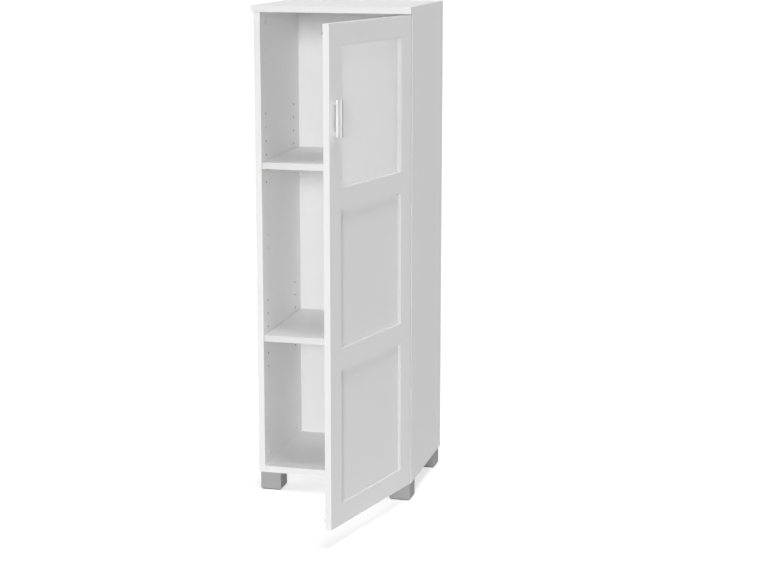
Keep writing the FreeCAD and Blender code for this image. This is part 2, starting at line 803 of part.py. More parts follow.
# ---------------------------------------------------------------- handle
handle = new_body("handle")
flute_half = d.handle_bar / 2 - d.handle_flute
handle_profile = [
    (d.handle_bar / 2, d.handle_gap),
    (d.handle_bar / 2, d.handle_flute_from - d.handle_flute_slope),
    (flute_half, d.handle_flute_from),
    (flute_half, d.handle_flute_to),
    (d.handle_bar / 2, d.handle_flute_to + d.handle_flute_slope),
    (d.handle_bar / 2, d.handle_depth),
]
right_side_points = [(handle_x + half, door_outer - out) for half, out in handle_profile]
left_side_points = [(handle_x - half, door_outer - out) for half, out in handle_profile]
handle_sketch = new_sketch(handle, "XY_Plane", handle_mid - d.handle_length / 2)
polygon(handle_sketch, right_side_points + left_side_points[::-1])
pad(handle_sketch, d.handle_length)


def is_handle_corner(edge):
    """True for the four long corners of the handle's bar, and not for the flute's."""
    flute_middle = (d.handle_flute_from + d.handle_flute_to) / 2
    flute_reach = flute_middle - d.handle_flute_from + d.handle_flute_slope + d.handle_round
    out = door_outer.number - edge.CenterOfMass.y
    return is_upright(edge) and abs(out - flute_middle.number) > flute_reach.number


soften(handle, edges_where(handle, is_handle_corner), d.handle_round)
for post_height in handle_screw_heights:
    block(handle, "XZ_Plane", -door_outer, d.handle_gap + d.handle_post_bite,
          handle_x - d.handle_post / 2, post_height - d.handle_post_height / 2,
          d.handle_post, d.handle_post_height)
drill(handle, "XZ_Plane", -door_outer, d.handle_screw_bite,
      [(handle_x, z) for z in handle_screw_heights], d.handle_screw)

handle_screws = new_body("handle_screws")
handle_screw_spots = [(handle_x, z) for z in handle_screw_heights]
rod(handle_screws, "XZ_Plane", -door_inner - d.handle_screw_head_rise, d.handle_screw_head_rise,
    handle_screw_spots, d.handle_screw_head)
rod(handle_screws, "XZ_Plane", -door_inner, d.door_board + d.handle_screw_bite - d.end_slack,
    handle_screw_spots, shaft(d.handle_screw))

for thing in (free_stile, hinge_stile, bottom_rail, lower_middle_rail, upper_middle_rail,
              top_rail, door_dowels, lower_panel, upper_panel, glass_pane, retainers,
              retainer_screws, bumpers, handle, handle_screws):
    place_on_door(thing)

# ---------------------------------------------------------------- cup hinges
side_face = inner_width / 2
arm_face = side_face - d.plate_thick
arm_outside = arm_face - d.arm_rise
nose_half = d.nose_width / 2
cup_floor = d.cup_depth - d.cup_wall
ear_x = cup_center - d.cup_screw_offset
ear_left = ear_x - d.cup_ear_width / 2
cup_screw_spots = [(ear_x, -d.cup_screw_step), (ear_x, d.cup_screw_step)]
plate_middle = front + d.front_column
arm_screw_spots = [(front + depth, 0) for depth in (d.arm_screw_front, d.arm_screw_rear)]
plate_screw_spots = [(plate_middle, -d.pin_pitch / 2), (plate_middle, d.pin_pitch / 2)]


def hinge_cup(label, height):
    """A round cup with two screw ears and two lugs that hold the pivot pin."""
    body = new_body(label)
    rim = -door_inner - d.cup_flange
    rod(body, "XZ_Plane", -door_inner, d.cup_depth, [(cup_center, 0)], d.cup_bore)
    rod(body, "XZ_Plane", rim, d.cup_flange, [(cup_center, 0)],
        d.cup_bore + 2 * d.cup_flange_over)
    block(body, "XZ_Plane", rim, d.cup_flange, ear_left, -d.cup_ear, d.cup_ear_width, 2 * d.cup_ear)
    drill(body, "XZ_Plane", rim, d.cup_flange + cup_floor, [(cup_center, 0)],
          d.cup_bore - 2 * d.cup_wall)
    lug_low = nose_half + d.lug_gap
    for start in (lug_low, -d.lug_half):
        block(body, "XY_Plane", start, d.lug_half - lug_low, axis_x - d.lug_left,
              door_inner - cup_floor, d.lug_left + d.lug_right,
              cup_floor - d.axis_depth + d.lug_rise)
    drill(body, "XY_Plane", -d.lug_half, 2 * d.lug_half, [(axis_x, axis_y)],
          2 * (d.pivot_radius + d.press_gap))
    drill(body, "XZ_Plane", rim, d.cup_flange, cup_screw_spots, d.cup_screw)
    place_on_door(body, 0, 0, height)


def hinge_arm(label, height):
    """A channel on the plate whose bent nose reaches into the cup and ends in an eye."""
    body = new_body(label)
    nose_left = axis_x - d.nose_reach - d.nose_thick / 2
    block(body, "YZ_Plane", arm_outside, d.arm_rise, front + d.arm_start, -d.arm_width / 2,
          d.arm_length, d.arm_width)
    inside = d.arm_width - 2 * d.arm_wall
    slot(body, "YZ_Plane", arm_outside + d.arm_wall, d.arm_rise - d.arm_wall,
         front + d.arm_start + d.arm_front_wall, -inside / 2,
         d.arm_length - d.arm_front_wall, inside)
    block(body, "XY_Plane", -nose_half, d.nose_width, nose_left, axis_y - d.nose_thick / 2,
          d.nose_thick, front + d.arm_start - axis_y + d.nose_thick / 2)
    block(body, "XY_Plane", -nose_half, d.nose_width, nose_left, axis_y - d.nose_thick / 2,
          d.nose_reach + d.nose_thick / 2, d.nose_thick)
    rod(body, "XY_Plane", -nose_half, d.nose_width, [(axis_x, axis_y)], 2 * d.eye_radius)
    drill(body, "XY_Plane", -nose_half, d.nose_width, [(axis_x, axis_y)],
          2 * (d.pivot_radius + d.running_gap))
    drill(body, "YZ_Plane", arm_outside, d.arm_wall, arm_screw_spots, d.arm_screw)
    place(body, 0, 0, height)


def hinge_plate(label, height):
    """A cross-shaped plate on the side, with the rib that the arm sits over."""
    body = new_body(label)
    block(body, "YZ_Plane", arm_face, d.plate_thick, plate_middle - d.plate_width / 2,
          -d.plate_half, d.plate_width, 2 * d.plate_half)
    block(body, "YZ_Plane", arm_face, d.plate_thick, plate_middle - d.rib_length / 2,
          -d.arm_width / 2, d.rib_length, d.arm_width)
    block(body, "YZ_Plane", arm_face - d.rib_rise, d.rib_rise, plate_middle - d.rib_length / 2,
          -d.rib_width / 2, d.rib_length, d.rib_width)
    drill(body, "YZ_Plane", arm_face, d.plate_thick, plate_screw_spots, d.pin_hole)
    drill(body, "YZ_Plane", arm_face - d.rib_rise, d.rib_rise, arm_screw_spots, d.arm_screw)
    place(body, 0, 0, height)


pivot_pins = new_body("hinge_pivot_pins")
cup_screws = new_body("hinge_cup_screws")
plate_screws = new_body("hinge_plate_screws")
arm_screws = new_body("hinge_arm_screws")
for name, height in zip(hinge_names, hinge_heights):
    hinge_cup("hinge_cup_" + name, height)
    hinge_arm("hinge_arm_" + name, height)
    hinge_plate("hinge_plate_" + name, height)
    rod(pivot_pins, "XY_Plane", height - d.pivot_half, 2 * d.pivot_half,
        [(axis_x, axis_y)], 2 * d.pivot_radius)
    spots = [(x, z + height) for x, z in cup_screw_spots]
    drill(hinge_stile, "XZ_Plane", -door_inner, d.cup_screw_bite, spots, d.cup_screw)
    rim = -door_inner - d.cup_flange
    rod(cup_screws, "XZ_Plane", rim - d.cup_screw_head_rise, d.cup_screw_head_rise,
        spots, d.cup_screw_head)
    rod(cup_screws, "XZ_Plane", rim, d.cup_flange + d.cup_screw_bite - d.end_slack,
        spots, shaft(d.cup_screw))
    spots = [(y, z + height) for y, z in plate_screw_spots]
    rod(plate_screws, "YZ_Plane", arm_face - d.screw_head_rise, d.screw_head_rise,
        spots, d.screw_head)
    rod(plate_screws, "YZ_Plane", arm_face, d.plate_thick + d.plate_screw_grip,
        spots, shaft(d.pin_hole))
    spots = [(y, z + height) for y, z in arm_screw_spots]
    rod(arm_screws, "YZ_Plane", arm_outside - d.arm_screw_head_rise, d.arm_screw_head_rise,
        spots, d.arm_screw_head)
    rod(arm_screws, "YZ_Plane", arm_outside, d.arm_rise - d.end_slack,
        spots, shaft(d.arm_screw))
place_on_door(pivot_pins)
place_on_door(cup_screws)
place(plate_screws)
place(arm_screws)

# ---------------------------------------------------------------- check and write
doc.recompute()
faulty = [o.Label for o in doc.Objects if {"Invalid", "Error"} & set(o.State)]
bodies = [o for o in doc.Objects if o.TypeId == "PartDesign::Body"]
faulty += [b.Label for b in bodies if b.Shape.isNull() or not b.Shape.isValid()]
if faulty:
    raise ValueError("these did not build: %s" % ", ".join(faulty))
os.makedirs("parts", exist_ok=True)
for body in bodies:
    body.Shape.exportStep("parts/%s.step" % body.Label)
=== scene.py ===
"""The finish, the small fittings and the studio for a tall bathroom cabinet.

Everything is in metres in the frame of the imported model: +Z up, -Y out of the open front,
+X towards the hinge side, with the origin on the floor under the carcass.
"""
import json
import math

import bmesh
import bpy
from mathutils import Matrix, Vector


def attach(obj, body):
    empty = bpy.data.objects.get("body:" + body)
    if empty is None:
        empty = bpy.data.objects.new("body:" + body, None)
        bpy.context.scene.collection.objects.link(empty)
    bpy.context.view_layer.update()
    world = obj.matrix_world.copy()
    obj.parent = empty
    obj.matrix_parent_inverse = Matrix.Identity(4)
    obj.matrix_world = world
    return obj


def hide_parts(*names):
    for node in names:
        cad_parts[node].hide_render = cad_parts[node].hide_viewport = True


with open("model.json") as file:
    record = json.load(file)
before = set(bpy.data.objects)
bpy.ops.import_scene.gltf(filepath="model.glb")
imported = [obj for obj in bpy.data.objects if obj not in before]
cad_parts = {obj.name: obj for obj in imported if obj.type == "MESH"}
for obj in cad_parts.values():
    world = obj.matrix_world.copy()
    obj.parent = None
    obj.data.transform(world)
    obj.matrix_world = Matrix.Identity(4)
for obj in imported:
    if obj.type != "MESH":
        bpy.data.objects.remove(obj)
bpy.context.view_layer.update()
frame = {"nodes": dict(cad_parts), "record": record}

MM = 0.001
OPEN = math.radians(76)                                     # how far the door stands open
ALONG = Vector((-math.cos(OPEN), -math.sin(OPEN), 0))       # from the hinges to its free edge
OUT = Vector((math.sin(OPEN), -math.cos(OPEN), 0))          # out of its outer face
UP = Vector((0, 0, 1))
FRONT = Vector((0, -1, 0))
RIGHT = Vector((1, 0, 0))

nodes = frame["nodes"]
slot_of = {part["node"]: part["material_slot"] for part in frame["record"]["subparts"]}


# ---------------------------------------------------------------- colours and nodes
COLOUR_A, COLOUR_B, MIXED = 6, 7, 2     # a Mix node's sockets when it mixes colours
NOISE_LOW, NOISE_HIGH = 0.3, 0.7        # a noise seldom leaves this span


def linear(hex_code):
    """An sRGB hex colour as linear red, green, blue and alpha."""
    channels = [int(hex_code[i:i + 2], 16) / 255 for i in (1, 3, 5)]
    return [c / 12.92 if c <= 0.04045 else ((c + 0.055) / 1.055) ** 2.4 for c in channels] + [1.0]


def add(tree, kind, settings=None, links=None, **options):
    """Adds a node: settings fill its sockets, links feed them, options are the node's own."""
    node = tree.nodes.new(kind)
    for name, value in options.items():
        setattr(node, name, value)
    for socket, value in (settings or {}).items():
        node.inputs[socket].default_value = value
    for socket, source in (links or {}).items():
        tree.links.new(source, node.inputs[socket])
    return node


def new_finish(name):
    """An empty material and its node tree."""
    finish = bpy.data.materials.new(name)
    finish.use_nodes = True
    finish.node_tree.nodes.clear()
    return finish, finish.node_tree


def cells(tree, size_mm, low=0.0, high=1.0, stretch=(1, 1, 1), detail=2.0):
    """A value that wanders from low to high over cells of size_mm, drawn out by stretch."""
    place = add(tree, "ShaderNodeTexCoord").outputs["Object"]
    drawn_out = add(tree, "ShaderNodeMapping", {"Scale": [1 / way for way in stretch]},
                    {"Vector": place}).outputs[0]
    noise = add(tree, "ShaderNodeTexNoise", {"Scale": 1 / (size_mm * MM), "Detail": detail},
                {"Vector": drawn_out})
    value = add(tree, "ShaderNodeMapRange", {"From Min": NOISE_LOW, "From Max": NOISE_HIGH,
                                             "To Min": low, "To Max": high},
                {"Value": noise.outputs["Fac"]})
    return value.outputs["Result"]


def faces_looking(tree, way, cosine):
    """1 where a face looks along the way, with at least that cosine between them, else 0."""
    normal = add(tree, "ShaderNodeTexCoord").outputs["Normal"]
    along = add(tree, "ShaderNodeVectorMath", {1: way}, {0: normal}, operation="DOT_PRODUCT")
    looking = add(tree, "ShaderNodeMath", {1: cosine}, {0: along.outputs["Value"]},
                  operation="GREATER_THAN")
    return looking.outputs[0]


def finish_with(tree, pattern, tints, shader):
    """Tints the shader from dark to light by the pattern and joins it to the output."""
    dark, light = tints
    tint = add(tree, "ShaderNodeMix", {COLOUR_A: linear(dark), COLOUR_B: linear(light)},
               {0: pattern}, data_type="RGBA")
    tree.links.new(tint.outputs[MIXED], shader.inputs["Base Color"])
    add(tree, "ShaderNodeOutputMaterial", links={"Surface": shader.outputs[0]})


def finish_by_side(tree, pattern, on_side, side_tints, other_tints, shader):
    """Does as finish_with, with one pair of tints on a side and another pair elsewhere."""
    other, side = [add(tree, "ShaderNodeMix", {COLOUR_A: linear(dark), COLOUR_B: linear(light)},
                       {0: pattern}, data_type="RGBA").outputs[MIXED]
                   for dark, light in (other_tints, side_tints)]
    both = add(tree, "ShaderNodeMix", links={0: on_side, COLOUR_A: other, COLOUR_B: side},
               data_type="RGBA")
    tree.links.new(both.outputs[MIXED], shader.inputs["Base Color"])
    add(tree, "ShaderNodeOutputMaterial", links={"Surface": shader.outputs[0]})


# ---------------------------------------------------------------- finishes
# the darkest and lightest tint of each finish; the bands and edges are as grey as they
# show in the photograph, and that greyness is painted shade
BOARD = "#F6F6F6", "#F8F8F8"
BOARD_BAND_AND_SHADE = "#EEEEEE", "#F0F0F0"
SHELF_BAND_PAINTED_SHADE = "#E0E0E0", "#E3E3E3"
BACK = "#E6E6E6", "#E9E9E9"
DOOR = "#F1F1F1", "#F2F2F2"
MILLED_EDGE_PAINTED_SHADE = "#E0E0E0", "#E2E2E2"
GLASS = "#F1F1F1", "#F4F4F4"
CHROME = "#DCDCDC", "#E2E2E1"
CHROME_EDGE_PAINTED_SHADE = "#A2A2A2", "#A9A9A8"
FOOT = "#ABABAB", "#B3B3B3"


def melamine_faced_chipboard(name, band_and_shade_tints):
    """White melamine-faced chipboard, resin paper pressed between textured plates.

    The plates leave a fine pearl grain, so highlights are soft and slightly broken. The real
    grain is 0.4 mm; it is drawn at 1.5 mm, as fine as shows. The front edges carry a glued
    band of the same resin; faces that look to the front are tinted greyer than the rest,
    which is painted shade.
    """
    finish, tree = new_finish(name)
    pearl = cells(tree, 1.5, detail=3)
    bump = add(tree, "ShaderNodeBump", {"Distance": 0.006 * MM}, {"Height": pearl})
    shader = add(tree, "ShaderNodeBsdfPrincipled", {"IOR": 1.5, "Specular IOR Level": 0.45}, {
        "Roughness": cells(tree, 1.5, 0.46, 0.56, detail=3), "Normal": bump.outputs["Normal"]})
    # faces looking to the front take the band tints, which carry painted shade
    finish_by_side(tree, pearl, faces_looking(tree, FRONT, 0.7), band_and_shade_tints, BOARD, shader)
    return finish


def lacquered_hardboard():
    """White lacquered hardboard: the lacquer sinks in, so it is matt with short fibres."""
    finish, tree = new_finish("white lacquered hardboard")
    fibres = cells(tree, 2.0, detail=4, stretch=(1, 1, 3))
    bump = add(tree, "ShaderNodeBump", {"Distance": 0.01 * MM}, {"Height": fibres})
    shader = add(tree, "ShaderNodeBsdfPrincipled", {"IOR": 1.48}, {
        "Roughness": cells(tree, 2.0, 0.55, 0.68, stretch=(1, 1, 3)),
        "Normal": bump.outputs["Normal"]})
    finish_with(tree, fibres, BACK, shader)
    return finish


def sprayed_lacquer(name, painted_shade_way=None):
    """White two-part lacquer sprayed on fibreboard: satin, with a faint orange peel.

    The peel is 3 mm across and far too shallow to see as relief; it only wavers reflections.
    An edge milled inside the frame, which looks the given way, is tinted greyer than the face as
    painted shade.
    """
    finish, tree = new_finish(name)
    peel = cells(tree, 3.0)
    bump = add(tree, "ShaderNodeBump", {"Distance": 0.002 * MM}, {"Height": peel})
    shader = add(tree, "ShaderNodeBsdfPrincipled", {"IOR": 1.5}, {
        "Roughness": cells(tree, 60, 0.25, 0.27), "Normal": bump.outputs["Normal"]})
    if painted_shade_way is None:
        finish_with(tree, peel, DOOR, shader)
    else:
        # faces of the milled edge get painted shade
        milled = faces_looking(tree, painted_shade_way, 0.7)
        finish_by_side(tree, peel, milled, MILLED_EDGE_PAINTED_SHADE, DOOR, shader)
    return finish


def frosted_glass():
    """Float glass frosted on its back by acid: smooth in front, milky behind.

    The smooth face mirrors the frame beside it; the frost scatters most of the light and
    lets a little straight through, so shapes behind it show faintly.
    """
    through_the_frost, straight_through = 0.32, 0.12        # shares of the light
    finish, tree = new_finish("acid-frosted float glass")
    frost = cells(tree, 1.2, detail=3)
    dark, light = GLASS
    tint = add(tree, "ShaderNodeMix", {COLOUR_A: linear(dark), COLOUR_B: linear(light)},
               {0: frost}, data_type="RGBA")
    milk = add(tree, "ShaderNodeBsdfPrincipled", {"IOR": 1.52}, {
        "Roughness": cells(tree, 1.2, 0.04, 0.08), "Base Color": tint.outputs[MIXED]})
    glow = add(tree, "ShaderNodeBsdfTranslucent", {"Color": linear("#F7F7F7")})
    body = add(tree, "ShaderNodeMixShader", {0: through_the_frost},
               {1: milk.outputs[0], 2: glow.outputs[0]})
    clear = add(tree, "ShaderNodeBsdfTransparent", {"Color": linear("#F8F8F8")})
    whole = add(tree, "ShaderNodeMixShader", {0: straight_through},
                {1: body.outputs[0], 2: clear.outputs[0]})
    add(tree, "ShaderNodeOutputMaterial", links={"Surface": whole.outputs[0]})
    return finish


def satin_chrome():
    """Zinc die casting brushed and plated with satin chrome, so reflections are drawn out
    along the handle. The brush lines are 0.1 mm; they are drawn at 0.6 mm. The narrow outer
    edge is tinted darker than the broad sides, which is painted shade."""
    finish, tree = new_finish("satin chrome on zinc die casting")
    brush = cells(tree, 0.6, stretch=(1, 1, 40))
    bump = add(tree, "ShaderNodeBump", {"Distance": 0.001 * MM}, {"Height": brush})
    shader = add(tree, "ShaderNodeBsdfPrincipled", {"Metallic": 1.0}, {
        "Roughness": cells(tree, 0.6, 0.42, 0.48, stretch=(1, 1, 40)),
        "Normal": bump.outputs["Normal"]})
    # faces looking out get the darker tints: painted shade
    finish_by_side(tree, brush, faces_looking(tree, OUT, 0.5), CHROME_EDGE_PAINTED_SHADE, CHROME, shader)
    return finish


def silver_lacquered_abs():
    """ABS feet with silver lacquer: aluminium flake in a clear film, so they read as metal
    with a soft highlight and a slight sparkle. The flake is drawn at 0.8 mm, as fine as
    shows."""
    finish, tree = new_finish("silver lacquered ABS")
    flake = cells(tree, 0.8)
    bump = add(tree, "ShaderNodeBump", {"Distance": 0.003 * MM}, {"Height": flake})
    shader = add(tree, "ShaderNodeBsdfPrincipled", {"IOR": 1.5, "Specular IOR Level": 0.1}, {
        "Roughness": cells(tree, 0.8, 0.50, 0.58), "Normal": bump.outputs["Normal"]})
    finish_with(tree, flake, FOOT, shader)
    return finish


def nickel_plated_steel():
    """Pressed steel with bright nickel: slightly warm, with the press's long soft waves."""
    finish, tree = new_finish("nickel-plated pressed steel")
    waves = cells(tree, 6)
    rolled = cells(tree, 0.9, detail=3, stretch=(1, 6, 1))
    bump = add(tree, "ShaderNodeBump", {"Distance": 0.02 * MM}, {"Height": waves})
    shader = add(tree, "ShaderNodeBsdfPrincipled", {"Metallic": 1.0}, {
        "Roughness": cells(tree, 0.9, 0.18, 0.28, stretch=(1, 6, 1)),
        "Normal": bump.outputs["Normal"]})
    finish_with(tree, rolled, ("#C4BFB6", "#D0CCC4"), shader)
    return finish


def zinc_plated_steel():
    """Screws and bolts with blue zinc plating: a little cloudy, cooler than nickel."""
    finish, tree = new_finish("blue zinc-plated steel")
    clouds = cells(tree, 2.5, detail=3)
    shader = add(tree, "ShaderNodeBsdfPrincipled", {"Metallic": 1.0},
                 {"Roughness": cells(tree, 2.5, 0.28, 0.42)})
    finish_with(tree, clouds, ("#B4BABF", "#C8CCCF"), shader)
    return finish


def bare_zinc_casting():
    """Zinc as it leaves the die: dull grey, with a fine cast skin."""
    finish, tree = new_finish("bare zinc die casting")
    cast_skin = cells(tree, 0.7, detail=4)
    bump = add(tree, "ShaderNodeBump", {"Distance": 0.02 * MM}, {"Height": cast_skin})
    shader = add(tree, "ShaderNodeBsdfPrincipled", {"Metallic": 1.0}, {
        "Roughness": cells(tree, 0.7, 0.45, 0.6), "Normal": bump.outputs["Normal"]})
    finish_with(tree, cast_skin, ("#8F9294", "#A6A8AA"), shader)
    return finish


def moulded_plastic(name, tints, roughness, texture_mm):
    """Injection-moulded plastic: the mould's spark-eroded texture makes it evenly matt."""
    spread = 0.05
    finish, tree = new_finish(name)
    texture = cells(tree, texture_mm, detail=3)
    bump = add(tree, "ShaderNodeBump", {"Distance": 0.01 * MM}, {"Height": texture})
    shader = add(tree, "ShaderNodeBsdfPrincipled", {"IOR": 1.53}, {
        "Roughness": cells(tree, texture_mm, roughness - spread, roughness + spread),
        "Normal": bump.outputs["Normal"]})
    finish_with(tree, texture, tints, shader)
    return finish


def poured_pads():
    """Clear polyurethane pads: soft, a little hazy, with the gloss of a poured dome."""
    finish, tree = new_finish("clear poured polyurethane")
    haze = cells(tree, 1.5)
    shader = add(tree, "ShaderNodeBsdfPrincipled", {"IOR": 1.49, "Transmission Weight": 0.7},
                 {"Roughness": cells(tree, 1.5, 0.12, 0.22)})
    finish_with(tree, haze, ("#E4E6E4", "#F0F1EF"), shader)
    return finish


def chipboard_with_painted_hole_shade():
    """The core of the boards where a drill has cut it: loose brown chips, dull and rough."""
    finish, tree = new_finish("raw chipboard darkened as painted hole shade")
    chips = cells(tree, 1.2, detail=4)
    bump = add(tree, "ShaderNodeBump", {"Distance": 0.2 * MM}, {"Height": chips})
    shader = add(tree, "ShaderNodeBsdfPrincipled", {"IOR": 1.45}, {
        "Roughness": cells(tree, 1.2, 0.8, 0.95), "Normal": bump.outputs["Normal"]})
    # the chips' tints are far darker than chipboard's own: painted shade inside the holes
    finish_with(tree, chips, ("#4E3D2B", "#6E5A42"), shader)
    return finish


def turned_beech():
    """Fluted beech dowels: pale pinkish wood with short dark flecks along the grain."""
    finish, tree = new_finish("beech")
    flecks = cells(tree, 0.8, detail=4, stretch=(1, 1, 6))
    bump = add(tree, "ShaderNodeBump", {"Distance": 0.03 * MM}, {"Height": flecks})
    shader = add(tree, "ShaderNodeBsdfPrincipled", {"IOR": 1.5}, {
        "Roughness": cells(tree, 0.8, 0.5, 0.65), "Normal": bump.outputs["Normal"]})
    finish_with(tree, flecks, ("#B98E62", "#D8B48A"), shader)
    return finish


finishes = {
    "white_board": melamine_faced_chipboard("white melamine-faced chipboard with painted edge shade", BOARD_BAND_AND_SHADE),
    "white_hardboard": lacquered_hardboard(),
    "white_lacquer": sprayed_lacquer("white sprayed lacquer on fibreboard"),
    "frosted_glass": frosted_glass(),
    "satin_metal": satin_chrome(),
    "silver_plastic": silver_lacquered_abs(),
    "nickel_steel": nickel_plated_steel(),
    "zinc_steel": zinc_plated_steel(),
    "zinc_casting": bare_zinc_casting(),
    "white_plastic": moulded_plastic("white moulded ABS", ("#E9E9E8", "#EFEFEE"), 0.4, 1.0),
    "dark_plastic": moulded_plastic("grey moulded polyethylene", ("#5A5B5C", "#67686A"),
                                    0.5, 1.2),
    "clear_rubber": poured_pads(),
    "beech": turned_beech(),
    "chipboard_with_painted_hole_shade": chipboard_with_painted_hole_shade(),
}
for name, node in nodes.items():
    node.data.materials.clear()
    node.data.materials.append(finishes[slot_of[name]])

# the shelves' front edges get a greyer tint, which is painted shade of the recess
shaded_shelf_finish = melamine_faced_chipboard("white melamine-faced shelf board with painted edge shade", SHELF_BAND_PAINTED_SHADE)
for name in ("upper_shelf", "lower_shelf"):
    nodes[name].data.materials[0] = shaded_shelf_finish
# the hinge stile's milled inner edge is tinted greyer: painted shade of the recess
nodes["hinge_stile"].data.materials[0] = sprayed_lacquer(
    "white sprayed lacquer on a milled stile", ALONG)


# ---------------------------------------------------------------- eased edges
WELD_MM = 0.001                         # points nearer than this are one point
ROUND_BELOW = math.radians(30)          # faces that meet at less are one round face
EASED_ABOVE = math.radians(40)          # faces that meet at more have an eased edge
EASE_MM = {
    "white_board": 0.3,
    "white_hardboard": 0.2,
    "white_lacquer": 0.4,
    "frosted_glass": 0.3,
    "satin_metal": 0.3,
    "silver_plastic": 0.3,
    "nickel_steel": 0.2,
    "zinc_steel": 0.2,
    "zinc_casting": 0.3,
    "white_plastic": 0.3,
    "dark_plastic": 0.4,
    "clear_rubber": 0.6,
    "beech": 0.3,
}


def joined_shell():
    """A modifier's node group that joins a node's faces and smooths only its round ones."""
    group = bpy.data.node_groups.new("joined shell", "GeometryNodeTree")
    group.interface.new_socket("Geometry", in_out="INPUT", socket_type="NodeSocketGeometry")
    group.interface.new_socket("Geometry", in_out="OUTPUT", socket_type="NodeSocketGeometry")
    start = add(group, "NodeGroupInput")
    merged = add(group, "GeometryNodeMergeByDistance", {"Distance": WELD_MM * MM},
                 {"Geometry": start.outputs[0]})
    plain = add(group, "GeometryNodeRemoveAttribute", {"Name": "custom_normal"},
                {"Geometry": merged.outputs[0]})
    smooth = add(group, "GeometryNodeSetShadeSmooth", {"Shade Smooth": True},
                 {"Geometry": plain.outputs[0]}, domain="FACE")
    angle = add(group, "GeometryNodeInputMeshEdgeAngle")
    sharp = add(group, "FunctionNodeCompare", {1: ROUND_BELOW}, {0: angle.outputs[0]},
                operation="GREATER_THAN")
    edged = add(group, "GeometryNodeSetShadeSmooth", {"Shade Smooth": False},
                {"Geometry": smooth.outputs[0], "Selection": sharp.outputs[0]}, domain="EDGE")
    add(group, "NodeGroupOutput", links={"Geometry": edged.outputs[0]})
    return group


def ease_edges(piece, shell_group, width_mm):
    """Rounds the sharp edges of a piece by width_mm, as a sanded or moulded edge is."""
    shell = piece.modifiers.new("joined shell", "NODES")
    shell.node_group = shell_group
    bevel = piece.modifiers.new("eased edges", "BEVEL")
    bevel.width = width_mm * MM
    bevel.segments = 2
    bevel.limit_method = "ANGLE"
    bevel.angle_limit = EASED_ABOVE
    bevel.harden_normals = True


shell_group = joined_shell()
for name, node in nodes.items():
    ease_edges(node, shell_group, EASE_MM[slot_of[name]])


# ---------------------------------------------------------------- meshes
def new_piece(name, mesh, body, material_slot):
    """A finished piece from a bmesh that moves with a body."""
    data = bpy.data.meshes.new(name)
    bmesh.ops.recalc_face_normals(mesh, faces=mesh.faces)
    mesh.to_mesh(data)
    mesh.free()
    piece = bpy.data.objects.new(name, data)
    bpy.context.scene.collection.objects.link(piece)
    data.materials.append(finishes[material_slot])
    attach(piece, body)
    return piece


def circle(centre, side, other, radius, corners):
    """Points around a centre, in the plane of two directions at right angles."""
    turns = [2 * math.pi * i / corners for i in range(corners)]
    return [centre + (side * math.cos(turn) + other * math.sin(turn)) * radius
            for turn in turns]


def ring(mesh, points):
    """New vertices at the points."""
    return [mesh.verts.new(point) for point in points]


def skin(mesh, rings):
    """Faces between each ring of vertices and the next."""
    for one, other in zip(rings, rings[1:]):
        for i in range(len(one)):
            k = (i + 1) % len(one)
            mesh.faces.new((one[i], one[k], other[k], other[i]))


def middle_of(points):
    """The mean of the points."""
    return sum(points, Vector()) / len(points)


def welded(node):
    """A node's mesh at its place in the frame, with the points of its faces joined."""
    mesh = bmesh.new()
    mesh.from_mesh(node.data)
    mesh.transform(node.matrix_world)
    bmesh.ops.remove_doubles(mesh, verts=mesh.verts, dist=WELD_MM * MM)
    return mesh


def linked_groups(vertices, longest=math.inf):
    """The points of each group of the vertices that edges shorter than longest link."""
    left = dict.fromkeys(vertices)
    groups = []
    while left:
        group = [left.popitem()[0]]
        for vertex in group:
            for edge in vertex.link_edges:
                near = edge.other_vert(vertex)
                if near in left and edge.calc_length() < longest:
                    del left[near]
                    group.append(near)
        groups.append([vertex.co.copy() for vertex in group])
    return groups


def loose_solids(node):
    """The points of each separate solid in a node."""
    mesh = welded(node)
    solids = linked_groups(mesh.verts)
    mesh.free()
    return solids


# ---------------------------------------------------------------- screws
SCREW_CORNERS = 20
SCREW_POINT = 0.2           # the point's radius, as a share of the shank's
# the head's outline above its seat, and its recess, as shares of its radius and its rise
DOMED_HEAD = (1.0, 0.0), (1.0, 0.3), (0.93, 0.65), (0.75, 1.0)
CROSS_REACH, CROSS_HALF_WIDTH, CROSS_DEPTH = 0.5, 0.13, 0.6
HEAD_RIM = 0.9              # points beyond this share of the head's radius belong to it
BELOW_SEAT_MM = 0.1         # points at least this far under the seat belong to the shank


